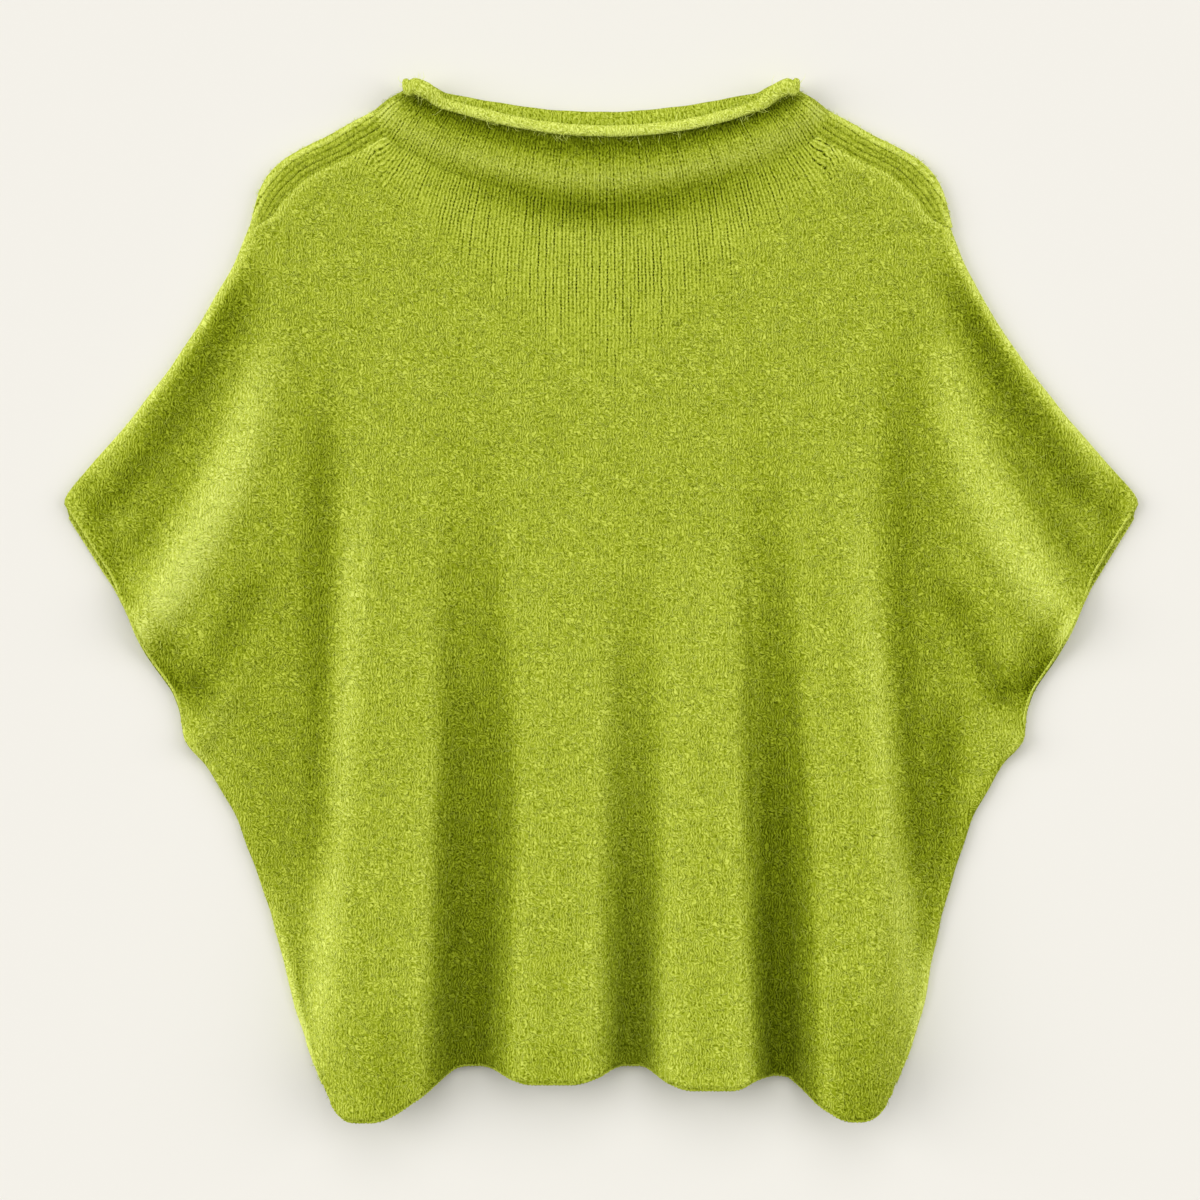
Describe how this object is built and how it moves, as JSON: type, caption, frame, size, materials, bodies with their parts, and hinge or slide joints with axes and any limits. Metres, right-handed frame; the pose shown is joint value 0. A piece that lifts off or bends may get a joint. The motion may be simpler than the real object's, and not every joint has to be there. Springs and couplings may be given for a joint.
{
  "type": "short-sleeve sweater",
  "caption": "Wide poncho-like short-sleeve sweater in brushed knit, with batwing sleeves, a funnel neck with a rolled edge and soft folds down to the hem, laid flat.",
  "frame": {"origin": "on the surface that the sweater lies on, in the middle of its width and length", "axes": "+X across the sweater from sleeve tip to sleeve tip, towards the right as its front is seen; +Y along the body from the hem to the neck; +Z off the surface, out of the front"},
  "size_m": [0.711, 0.679, 0.0432],
  "materials": {
    "brushed_knit": "brushed wool knit in lime green, matt with a soft nap"
  },
  "bodies": {
    "root": {"back_panel": "brushed_knit", "front_panel": "brushed_knit", "saddle_left": "brushed_knit", "saddle_right": "brushed_knit", "collar": "brushed_knit"}
  },
  "joints": []
}
